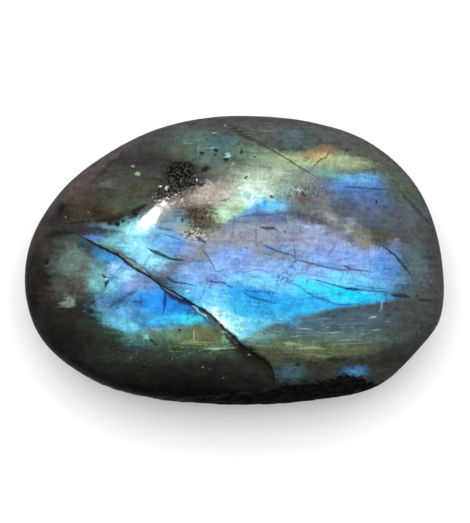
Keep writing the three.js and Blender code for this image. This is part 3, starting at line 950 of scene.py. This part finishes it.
# painted glints: points where light catches the surface, painted as pale colour; the whitest lies beside the
# key's streak
GLINTS = [  # place, half size and colour
    (228, 155, 2.6, 1.6, "#9cd4c4"), (215, 132.5, 2.6, 0.8, "#7c9c96"), (225, 125.5, 0.6, 0.5, "#a0a4a0"),
    (233, 164, 0.8, 0.8, "#d8e4e0"), (137.5, 173.5, 2.4, 1.5, "#88bc94"), (133, 166, 1.5, 0.7, "#989692"),
    (240, 187.5, 3.4, 1.6, "#dcf0e4"), (164, 203, 2.4, 3, "#fff8f4"), (187, 291.5, 0.9, 1.2, "#b8f0e8"),
    (105.5, 279.4, 1.3, 1, "#dce8ec"), (297, 190, 1.8, 1, "#a4b4bc"), (304, 180, 0.7, 0.7, "#b4b8b0"),
    (388, 321, 1.1, 0.8, "#98a09c"), (203, 367.5, 1.2, 0.7, "#b0b4ac"), (210, 369, 0.8, 0.5, "#7c807a"),
    (223, 377, 0.6, 0.6, "#8c7c60"), (248, 355, 1, 0.9, "#7c746c"), (53, 299, 0.6, 0.5, "#8c847c"),
    (236, 245, 0.8, 0.8, "#b8bcd0"), (66, 217, 0.6, 0.5, "#94806c"), (131, 357, 0.7, 0.5, "#808880"),
    (137, 353, 0.5, 0.5, "#788078"), (173, 359, 0.6, 0.6, "#889088"), (88, 212.5, 0.6, 0.5, "#908068"),
    (219, 324, 1, 1, "#8c7420"),
]
SPECK_LOOK = (0.4, "#131315", 0.92)  # softness, colour and strength
GLINT_SOFTNESS, GLINT_STRENGTH = 0.6, 0.88
for speck in SPECKS:
    colour = patch(colour, chipped, *speck, *SPECK_LOOK)
print("specks:", len(SPECKS), "glints:", len(GLINTS))

# %% [markdown]
# Between the marks that are placed one by one, the rock is never even. Noise makes the rest: cloudy
# grain and thin level layers that shade every colour, dark clefts, and hair-thin veins. The clefts are
# the edges of stretched Voronoi cells, and the veins lie where a noise passes its middle value.

# %% Fine grain
FINE = (2.8, 3, 0.75)
MOTTLE = (0.75, 4, 0.6)
THIN_LAYERS = (1.0, 3, 0.6)  # per cell
THIN_LAYER_CELL_MM = (4.0, 0.26, 1)
FINE_SHARE, MOTTLE_SHARE, LAYER_SHARE, STREAK_SHARE = 1.0, 1.3, 0.3, (0, 0, 0.8)
CLOUDING_BASE = -0.15  # with this, the clouding's mean is about 1
SHADE_BASE = 0.12
fine = add("TexNoise", rock, *FINE)
mottle = add("TexNoise", rock, *MOTTLE)
thin_layers = add("Mapping", place, (0, 0, 0), (0, 0, LAYERS_TILT), THIN_LAYER_CELL_MM, **CELLS)
thin_layers = add("TexNoise", thin_layers, *THIN_LAYERS)
clouding = add("Math", fine, FINE_SHARE, CLOUDING_BASE, **TIMES_PLUS)
clouding = add("Math", mottle, MOTTLE_SHARE, clouding, **TIMES_PLUS)
shade = add("Math", thin_layers, LAYER_SHARE, clouding, **TIMES_PLUS)
shade = add("Math", add("VectorMath", streak, STREAK_SHARE, **DOT), shade)
shade = add("Math", shade, SHADE_BASE, **MINUS)

# %% Clefts and veins
CLEFTS = [  # heading in degrees, length and width of a cell in mm, strength
    (80, 14.0, 2.6, 0.16),
    (-10, 18.0, 1.5, 0.16),
]
CLEFT_WIDTH = 0.05  # in cells
VEINS = [(-12, 3.2, 2.0, 0.012, 0.5), (30, 1.6, 1.0, 0.016, 0.3)]  # the same, with the width before strength
VEIN_OCTAVES = (3, 0.5)
BEND = (0.12, 1, 0.5)
BEND_MM = (6.0, 6.0, 0)
PATCHY = (-0.08, 0.12)  # where in the wander the clefts and veins set in
bend = swing(add("TexNoise", rock, *BEND, take="Color"))
bent = add("VectorMath", bend, BEND_MM, place, **TIMES_PLUS)
patches = add("VectorMath", wander, (0, 0, 1), **DOT)
patchy = add("MapRange", patches, *PATCHY, **EASED)


def darkened(shade, line):
    """A shade times 1 minus a line's strength, in the parts where clefts and veins are."""
    kept = add("Math", 1.0, add("Math", line, patchy, **TIMES), **MINUS)
    return add("Math", shade, kept, **TIMES)


for heading, length, width, strength in CLEFTS:
    cell = (0, 0, 0), (0, 0, math.radians(heading)), (length, width, 1)
    cleft = add("Mapping", bent, *cell, **CELLS)
    cleft = add("TexVoronoi", cleft, 1.0, feature="DISTANCE_TO_EDGE", voronoi_dimensions="2D")
    shade = darkened(shade, add("MapRange", cleft, 0.0, CLEFT_WIDTH, strength, 0.0, **EASED))
for heading, length, width, thin, strength in VEINS:
    cell = (0, 0, 0), (0, 0, math.radians(heading)), (length, width, 1)
    vein = add("TexNoise", add("Mapping", place, *cell, **CELLS), 1.0, *VEIN_OCTAVES)
    vein = add("Math", add("Math", vein, 0.5, **MINUS), operation="ABSOLUTE")
    shade = darkened(shade, add("MapRange", vein, 0.0, thin, strength, 0.0, **EASED))

# %% The colour with its grain
HUES = (0.9, 4, 0.65)
HUES_SHARE = 0.35
grey = add("CombineColor", shade, shade, shade)
colour = add("Mix", 1.0, colour, grey, **RGB, blend_type="MULTIPLY")
hues = add("TexNoise", rock, *HUES, take="Color")
colour = add("Mix", HUES_SHARE, colour, hues, **RGB, blend_type="OVERLAY")

# %% [markdown]
# Where a mineral broke up, its crumbs lie as grit, and short level dashes shine below the main flash. Both
# are strewn: a fine noise gives their shapes, and soft ellipses say where they lie. Pale grains beside the
# dark pits are painted glints, light caught on the broken crumbs. The pits of the dark mineral are dull, so
# the same grains take the polish off later.

# %% Grit and level dashes
GRIT = [  # place, half size, colour, strength, and from where to where in the noise
    (178, 169, 15, 10, "#0a0807", 0.97, 0.41, 0.50), (179, 180, 18, 14, "#100d0b", 0.92, 0.47, 0.55),
    (163, 193, 11, 7, "#100d0b", 0.92, 0.50, 0.58), (194, 183, 10, 5, "#14110f", 0.9, 0.48, 0.57),
    # the pale rows at (172, 201) and (186, 182) are painted glints: light caught on broken grains beside the
    # dark pits
    (172, 201, 17, 8, "#e4e0da", 0.85, 0.45, 0.38), (186, 182, 14, 11, "#8c8680", 0.5, 0.41, 0.36),
    (199, 217, 14, 10, "#33291f", 0.9, 0.47, 0.55), (214, 193, 22, 9, "#8c8474", 0.45, 0.52, 0.62),
    (304, 192, 26, 9, "#42453e", 0.6, 0.52, 0.60), (300, 189, 22, 7, "#a6b6b6", 0.5, 0.43, 0.37),
    (196, 235, 13, 6, "#2c2e34", 0.85, 0.52, 0.57), (194, 234, 13, 6, "#d0d4dc", 0.7, 0.44, 0.39),
    (284, 279, 9, 6, "#3c5c8c", 0.8, 0.49, 0.55), (88, 213, 22, 8, "#251c13", 0.7, 0.54, 0.62),
    (116, 222, 14, 4, "#171512", 0.8, 0.54, 0.62), (138, 354, 46, 14, "#414b42", 0.5, 0.50, 0.62),
]
PITTED_ROWS = 4  # the first of them, where the dark mineral broke out
DASHED = [  # the same
    (318, 332, 66, 16, "#8aa6a4", 0.6, 0.60, 0.70), (306, 349, 50, 8, "#9cac84", 0.5, 0.58, 0.68),
    (330, 364, 60, 6, "#1c1b15", 0.8, 0.42, 0.36), (270, 132, 50, 9, "#71807c", 0.5, 0.58, 0.66),
    (196, 344, 44, 12, "#88a884", 0.6, 0.60, 0.68), (320, 292, 60, 12, "#8cecff", 0.35, 0.56, 0.66),
    (262, 296, 40, 12, "#1c6cb8", 0.4, 0.42, 0.34),
]
GRAINS = (2.4, 3, 0.65)
DASH_NOISE = (1.0, 2, 0.5)  # per cell
DASH_TILT = math.radians(-3)
DASH_CELL_MM = (1.5, 0.2, 1)
ZONE_SOFTNESS = 0.5


def strewn(colour, noise, x, y, half_x, half_y, code, strength, start, end):
    """A colour with grains of another, and the grains: in an ellipse, where a noise passes start to end."""
    zone = patch(None, mid, x, y, half_x, half_y, 0, ZONE_SOFTNESS, code, strength, take="Mask")
    grains = add("MapRange", noise, start, end, 0.0, zone, **EASED)
    return add("Mix", grains, colour, tone(code), **RGB), grains


grit = add("TexNoise", rock, *GRAINS)
pitted = 0.0
for row, zone in enumerate(GRIT):
    colour, grains = strewn(colour, grit, *zone)
    if row < PITTED_ROWS:
        pitted = add("Math", grains, pitted, **LARGER)

dashes = add("Mapping", near, (0, 0, 0), (0, 0, DASH_TILT), DASH_CELL_MM, **CELLS)
dashes = add("TexNoise", dashes, *DASH_NOISE)
for zone in DASHED:
    colour, _ = strewn(colour, dashes, *zone)
for *form, code in GLINTS:
    colour = patch(colour, chipped, *form, 0, GLINT_SOFTNESS, code, GLINT_STRENGTH)
print("strewn zones:", len(GRIT) + len(DASHED))

# %% [markdown]
# Only the crown was looked at. On the flanks and the underside a mark drawn in the picture plane would
# smear, so there the colour passes over to a body drawn in three dimensions: the same dark feldspar,
# clouded, with a faint flash here and there. It is painted nearly black at the front and paler at the
# back: painted shade and light, because the lamp stands above and a little behind the stone. The border
# follows the way the faces turn, measured along the fixed direction BACK, and not along a camera. How
# the stone looks from below is a guess.

# %% Flanks and underside
# the front is painted nearly black and the back paler: painted shade and light, the lamp being above and
# behind
SHADED_FLANK_FRONT = "#14110f"
LIT_FLANK_BACK = "#3a3b36"
BACKWARD = (0.4, 0.9, 0)
BACKWARD_MM = (-12.0, 20.0)  # from where to where along that direction the back's colour sets in
FLANK_MARKS = [  # colour, its noise, from where to where in it, and strength
    ("#161514", (0.14, 5, 0.6), (0.42, 0.62), 0.8),
    ("#2f5f7c", (0.09, 3, 0.55), (0.56, 0.70), 0.75),
]
FLANK_HUES_SHARE = 0.5
RAGGED_WANDER, RAGGED_CRUMBLE = (0, 0, 1.1), (0, 0, 0.5)
CROWN_FACING = (0.0, 0.5)  # how far a face turns upward, along BACK, where the crown's marks set in

crownward = add("VectorMath", add("TexCoord", take="Normal"), BACK, **DOT)
toward_lit_back = add("VectorMath", rock, BACKWARD, **DOT)
toward_lit_back = add("MapRange", toward_lit_back, *BACKWARD_MM, **EASED)
flank = add("Mix", toward_lit_back, tone(SHADED_FLANK_FRONT), tone(LIT_FLANK_BACK), **RGB)
for code, noise, span, strength in FLANK_MARKS:
    mark = add("MapRange", add("TexNoise", rock, *noise), *span, 0.0, strength, **EASED)
    flank = add("Mix", mark, flank, tone(code), **RGB)
grey = add("CombineColor", clouding, clouding, clouding)
flank = add("Mix", 1.0, flank, grey, **RGB, blend_type="MULTIPLY")
flank = add("Mix", FLANK_HUES_SHARE, flank, hues, **RGB, blend_type="OVERLAY")
ragged = add("VectorMath", wander, RAGGED_WANDER, **DOT)
ragged = add("Math", ragged, add("VectorMath", crumble, RAGGED_CRUMBLE, **DOT))
on_crown = add("MapRange", add("Math", ragged, crownward), *CROWN_FACING, **EASED)
colour = add("Mix", on_crown, flank, colour, **RGB)

# %% [markdown]
# The strip that was never ground is matt, crumbly and nearly black. It has the same upper edge and the
# same ends as in the relief, and noise frays them. Below, it stops above the belly, which was ground.

# %% The strip that was never ground
UNGROUND = ("#0b0a0a", "#1d1c1b")
UNGROUND_SIDE = ("#171412", "#3a3531")  # paler on the flank, because less light reaches it there
UNGROUND_EDGE_MM = -0.3  # negative, because the strip lies to the right of its line
BELLY_MM = (8.2, 9.4)  # heights between which it sets in, with the clouding added
BELLY_FRAY = 5.0
END_WANDER, END_CRUMBLE = (0, 0, 9), (0, 0, 3)
END_HALF_MM = 0.4
CRUMBS = (0.75, 1.3)  # from where to where in the clouding

unground = left_of(torn, UNGROUND_PX, UNGROUND_EDGE_MM)
rock_up = add("VectorMath", rock, (0, 0, 1), **DOT)
off_belly = add("Math", clouding, BELLY_FRAY, rock_up, **TIMES_PLUS)
off_belly = add("MapRange", off_belly, *BELLY_MM, **EASED)
off_middle = add("Math", add("VectorMath", rock, (1, 0, 0), **DOT), UNGROUND_MIDDLE_MM, **MINUS)
ends = add("Math", rock_up, -UNGROUND_LEAN, add("Math", off_middle, operation="ABSOLUTE"), **TIMES_PLUS)
ends = add("Math", ends, add("VectorMath", wander, END_WANDER, **DOT))
ends = add("Math", ends, add("VectorMath", crumble, END_CRUMBLE, **DOT))
inner, outer = UNGROUND_REACH_MM - END_HALF_MM, UNGROUND_REACH_MM + END_HALF_MM
ends = add("MapRange", ends, inner, outer, 1.0, 0.0, **EASED)
unground = add("Math", add("Math", unground, off_belly, **TIMES), ends, **TIMES)
crumbs = add("MapRange", clouding, *CRUMBS, **EASED)
broken_face = add("Mix", crumbs, *map(tone, UNGROUND), **RGB)
broken_side = add("Mix", crumbs, *map(tone, UNGROUND_SIDE), **RGB)
broken_face = add("Mix", on_crown, broken_side, broken_face, **RGB)
colour = add("Mix", unground, colour, broken_face, **RGB)

# %% [markdown]
# Everywhere else the colour lies under a clear coat with labradorite's refractive index, 1.56, and a
# wheel's faint waviness. The coat is weakened in a belt where the crown turns down into the flanks,
# because the photograph's stone mirrors nothing bright there. The rock under it is dull, since its
# only gloss is the polish.

# %% Polish
POLISHED_IOR = 1.56
ROCK_ROUGHNESS = 0.5
POLISH_ROUGHNESS = 0.06
LIT_SHARE = 0.82  # the rows' colours are as lit, and this brings them to the rock's own
BELT_TOP = (0.95, 0.80)  # how far a face turns upward, along BACK, where the belt sets in
BELT_BOTTOM = (0.45, 0.66)  # and where it ends
LOW_LEFT = (-0.5, -0.85, 0)
BELT_SPAN_MM = (-16.0, 12.0)  # along that direction
BELT_DULLING = (0.6, 0.8)
PIT_DULLING = 0.95
RIPPLE = (1.1, 5, 0.6)
RIPPLE_M = 0.000024

colour = add("VectorMath", colour, operation="SCALE")
colour.node.inputs["Scale"].default_value = LIT_SHARE
links.new(colour, shader.inputs["Base Color"])

shader.inputs["Roughness"].default_value = ROCK_ROUGHNESS
shader.inputs["Specular IOR Level"].default_value = 0.0
shader.inputs["Coat IOR"].default_value = POLISHED_IOR
shader.inputs["Coat Roughness"].default_value = POLISH_ROUGHNESS
belt = add("MapRange", crownward, *BELT_TOP, 0.0, 1.0, **EASED)
belt = add("Math", belt, add("MapRange", crownward, *BELT_BOTTOM, 0.0, 1.0, **EASED), **TIMES)
toward_low_left = add("VectorMath", place, LOW_LEFT, **DOT)
dulling = add("MapRange", toward_low_left, *BELT_SPAN_MM, *BELT_DULLING, **EASED)
dull = add("Math", add("Math", belt, dulling, **TIMES), unground, **LARGER)
dull = add("Math", dull, add("Math", pitted, PIT_DULLING, **TIMES), **LARGER)
ripple = add("Bump", 1.0, RIPPLE_M, None, add("TexNoise", rock, *RIPPLE))
links.new(ripple, shader.inputs["Normal"])
links.new(ripple, shader.inputs["Coat Normal"])
links.new(add("Math", 1.0, dull, **MINUS), shader.inputs["Coat Weight"])
print("material nodes:", len(nodes))

# %% [markdown]
# The floor is a large sheet of matt white card. It takes the stone's shadow and throws light back on the
# flanks, but the polish doesn't mirror it: a mirrored floor would lay a white veil over them.

# %% The floor
FLOOR_HALF = 1.5  # metres
CARD_ALBEDO = 0.9
CARD_ROUGHNESS = 0.9
CARD_GLOSS = 0.1
floor_data = bpy.data.meshes.new("floor")
corners = [(-1, -1, 0), (1, -1, 0), (1, 1, 0), (-1, 1, 0)]
floor_data.from_pydata(np.array(corners) * FLOOR_HALF, [], [(0, 1, 2, 3)])
floor = bpy.data.objects.new("floor", floor_data)
bpy.context.scene.collection.objects.link(floor)
floor_material = bpy.data.materials.new("white_card")
floor_material.use_nodes = True
card = floor_material.node_tree.nodes["Principled BSDF"]
card.inputs["Base Color"].default_value = (CARD_ALBEDO, CARD_ALBEDO, CARD_ALBEDO, 1)
card.inputs["Roughness"].default_value = CARD_ROUGHNESS
card.inputs["Specular IOR Level"].default_value = CARD_GLOSS
floor_data.materials.append(floor_material)
floor.visible_glossy = False

# %% [markdown]
# Labradorite shows its colours best in soft light with little glare. So a wide softbox overhead lights
# the stone but is left out of its mirror image, as crossed polarising filters would do it. The polish
# mirrors the walls, which are palest level with the stone: they draw the thin pale line along its upper
# edge and give the flanks their sheen. One small lamp shows in the polish alone: the single streak.

# %% The walls
WALLS_LOW = 0.5
WALLS_HIGH = 0.12
WALLS_FADE = (0.0, 0.75)  # the sines of the heights between which they darken
WALLS_FRONT_SHARE = 0.2
FRONT_TO_BACK = (-1.0, 0.6)
BELOW_HORIZON = 0.35
BELOW_FADE = (-0.7, 0.1)

scene = bpy.context.scene
scene.view_settings.view_transform = "Standard"
world = bpy.data.worlds.new("studio")
scene.world = world
world.use_nodes = True
nodes, links = world.node_tree.nodes, world.node_tree.links
toward = add("SeparateXYZ", add("TexCoord", take="Generated"), take="Z")
back = toward.node.outputs["Y"]
fading = add("MapRange", toward, *WALLS_FADE, WALLS_LOW, WALLS_HIGH, **EASED)
sided = add("MapRange", back, *FRONT_TO_BACK, WALLS_FRONT_SHARE, 1.0)
below = add("MapRange", toward, *BELOW_FADE, BELOW_HORIZON, 1.0, **EASED)
walls = add("Math", add("Math", fading, sided, **TIMES), below, **TIMES)
links.new(walls, nodes["Background"].inputs["Strength"])
nodes["Background"].inputs["Color"].default_value = (1, 1, 1, 1)

# %% The lamps
def softbox(name, heading, pitch, distance, size, power, roll=0.0, shape="RECTANGLE"):
    """An area light in a direction from the stone, in metres and watts, turned toward the stone."""
    data = bpy.data.lights.new(name, "AREA")
    data.shape = shape
    data.size, data.size_y = size
    data.energy = power
    light = bpy.data.objects.new(name, data)
    scene.collection.objects.link(light)
    away = Vector(direction(heading, pitch))
    light.location = away * distance
    light.rotation_mode = "QUATERNION"
    light.rotation_quaternion = away.to_track_quat("Z", "Y") @ Quaternion((0, 0, 1), math.radians(roll))
    return light


OVERHEAD = {"heading": 90, "pitch": 80, "distance": 1.0, "size": (2.0, 2.0), "power": 30.0}
KEY = {"heading": 128, "pitch": 61, "distance": 0.5, "size": (0.09, 0.017), "power": 0.35}
overhead = softbox("overhead", **OVERHEAD)
overhead.visible_glossy = False
key = softbox("key", **KEY, roll=40, shape="ELLIPSE")
key.visible_diffuse = False
print("lamps, W:", overhead.data.energy, round(key.data.energy, 2))
